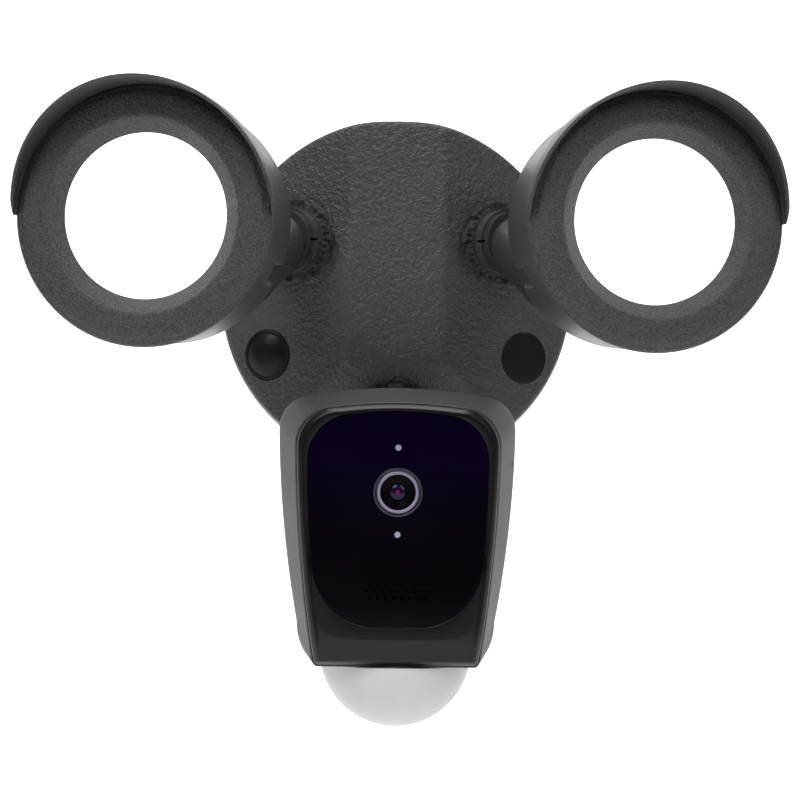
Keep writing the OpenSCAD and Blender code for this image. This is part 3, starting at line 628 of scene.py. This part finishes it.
# painted highlight: a magenta glint at the lens centre and a faint lighter reflected ring about 1.8 mm out, dark
# between
graded(finish["lens_glass"], [(0.0, (0.16, 0.01, 0.07)), (0.0005, (0.1, 0.006, 0.07)), (0.0010, (0.004, 0.001, 0.01)),
                              (0.0018, (0.012, 0.004, 0.03)), (0.0030, (0.004, 0.002, 0.01))], lensCentre)
finish["indicator_plastic"] = skin("indicator_plastic", ((0.25, 0.23, 0.33), 0.3, 2000, 1.0, 0.1, 0.0, 0.00001))
print("finishes made")

nodeFinish = {  # every node by its finish
    "zinc_steel": "mounting_plate",
    "green_screw": "ground_screw",
    "black_rubber": "wall_gasket wire_grommet",
    "housing_plastic": "housing_cover",
    "black_plastic": "back_cover socket camera_socket dome_ring",
    "screw_steel": "back_cover_screws cover_screws arm_nut",
    "green_board": "driver_board camera_board",
    "component_black": "driver_components image_sensor speaker",
    "ivory_plastic": "terminal_block",
    "plug_rubber": "plug",
    "arm_plastic": "lock_ring arm camera_lock_ring camera_ball camera_stem",
    "pin_steel": "hinge_pin camera_ball_pin",
    "lamp_shell_plastic": "shell",
    "lamp_front_plastic": "bezel hood",
    "lamp_lens": "lens",
    "reflector_white": "reflector",
    "led_board_white": "led_board",
    "led_phosphor": "leds",
    "aluminium_cast": "heat_sink",
    "camera_case_plastic": "camera_case",
    "camera_bezel_plastic": "camera_bezel lens_barrel",
    "camera_glass": "camera_glass",
    "lens_ring_metal": "lens_ring",
    "lens_glass": "lens_glass",
    "indicator_plastic": "indicator_windows",
    "sensor_can": "microphone motion_sensor",
    "frosted_dome": "motion_dome",
    "orange_plastic": "setup_button"}
finishOf = {node: name for name, row in nodeFinish.items() for node in row.split()}

for name, piece in nodes.items():
    key = name if name in finishOf else name.split("_", 1)[1]  # left_ and right_ nodes share a finish
    piece.data.materials.clear()
    piece.data.materials.append(finish[finishOf[key]])

made = [buildHousing(), buildCase(), buildCameraFront(), buildDome(), *buildLensTrim()]
print("housing and camera made")
for side in sides:
    made += [buildPlug(side), buildBezel(side), buildDrum(side), buildHood(side), buildLens(side)]
print("heads made")
for piece in made:
    piece.data.materials.clear()
    piece.data.materials.append(finish["lens_black" if piece.name == "lens_cone" else piece["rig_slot"]])


stage = {"floor": -0.3, "near": -2.5, "back": 1.1, "curve": 0.6, "high": 3.0, "half": 3.0, "litFrom": 0.45,
         "litTo": 0.74}


def buildStage():
    # a floor that curves up into a backdrop by a quarter circle: back + r sin a, floor + r (1 - cos a)
    a = np.linspace(0, pi / 2, 24)
    r = stage["curve"]
    curve = np.stack([stage["back"] + r * np.sin(a), stage["floor"] + r * (1 - np.cos(a))], 1)
    path = np.concatenate([[[stage["near"], stage["floor"]]], curve, [[stage["back"] + r, stage["high"]]]])
    x = np.array([-stage["half"], stage["half"]])
    p = np.stack([np.repeat(x, len(path)), np.tile(path[:, 0], 2), np.tile(path[:, 1], 2)], 1)
    mesh = bpy.data.meshes.new("floor")
    mesh.from_pydata(p.tolist(), [], gridQuads(2, len(path), False, False).tolist())
    floor = bpy.data.objects.new("floor", mesh)
    bpy.context.scene.collection.objects.link(floor)
    m = bpy.data.materials.new("pale floor")
    m.use_nodes = True
    b = m.node_tree.nodes["Principled BSDF"]
    b.inputs["Base Color"].default_value = (0.92, 0.92, 0.92, 1)
    b.inputs["Roughness"].default_value = 0.9
    b.inputs["Emission Color"].default_value = (1, 1, 1, 1)
    b.inputs["Emission Strength"].default_value = 0.85
    depth = put(m.node_tree, "ShaderNodeSeparateXYZ", {0: put(m.node_tree, "ShaderNodeTexCoord").outputs["Object"]})
    lit = put(m.node_tree, "ShaderNodeMapRange", {"Value": depth.outputs["Y"], "From Min": stage["litFrom"],
                                                  "From Max": stage["litTo"]})
    isSeen = put(m.node_tree, "ShaderNodeLightPath").outputs["Is Camera Ray"]
    glow = put(m.node_tree, "ShaderNodeMath", {0: lit.outputs[0], 1: isSeen}, operation="MAXIMUM")
    m.node_tree.links.new(glow.outputs[0], b.inputs["Emission Color"])
    mesh.materials.append(m)


def addLight(name, at, target, size, power):
    light = bpy.data.lights.new(name, "AREA")
    light.shape, light.size, light.size_y, light.energy = "RECTANGLE", size[0], size[1], power
    o = bpy.data.objects.new(name, light)
    o.location = at
    o.rotation_euler = (Vector(target) - Vector(at)).to_track_quat("-Z", "Y").to_euler()
    bpy.context.scene.collection.objects.link(o)


buildStage()
addLight("key", (-0.75, -1.0, 1.3), (0, -0.05, 0), (1.1, 1.1), 27)
addLight("fill", (1.0, -1.1, 0.9), (0, -0.05, 0), (1.0, 1.0), 12)
addLight("top", (0, 0.0, 1.3), (0, -0.08, 0), (1.6, 0.6), 20)
world = bpy.data.worlds.new("studio")
bpy.context.scene.world = world
world.use_nodes = True
world.node_tree.nodes["Background"].inputs["Color"].default_value = (1, 1, 1, 1)
isSeen = put(world.node_tree, "ShaderNodeLightPath").outputs["Is Camera Ray"]
strength = put(world.node_tree, "ShaderNodeMath", {0: isSeen, 1: 0.95, 2: 0.05}, operation="MULTIPLY_ADD")
world.node_tree.links.new(strength.outputs[0], world.node_tree.nodes["Background"].inputs["Strength"])
bpy.context.scene.view_settings.view_transform = "Standard"

view = {"at": (-0.01109, -0.99992, -0.03908), "yaw": -0.75, "roll": 0.65, "lens": 119.77}
lensData = bpy.data.cameras.new("camera")
lensData.lens, lensData.sensor_width = view["lens"], 36
camera = bpy.data.objects.new("camera", lensData)
camera.location = view["at"]
camera.rotation_mode = "QUATERNION"
upright = Quaternion((1, 0, 0), pi / 2)
yaw, roll = Quaternion((0, 0, 1), radians(view["yaw"])), Quaternion((0, 0, 1), radians(view["roll"]))
camera.rotation_quaternion = yaw @ upright @ roll
lensData.clip_start, lensData.clip_end = 0.05, 20
bpy.context.scene.collection.objects.link(camera)
bpy.context.scene.camera = camera
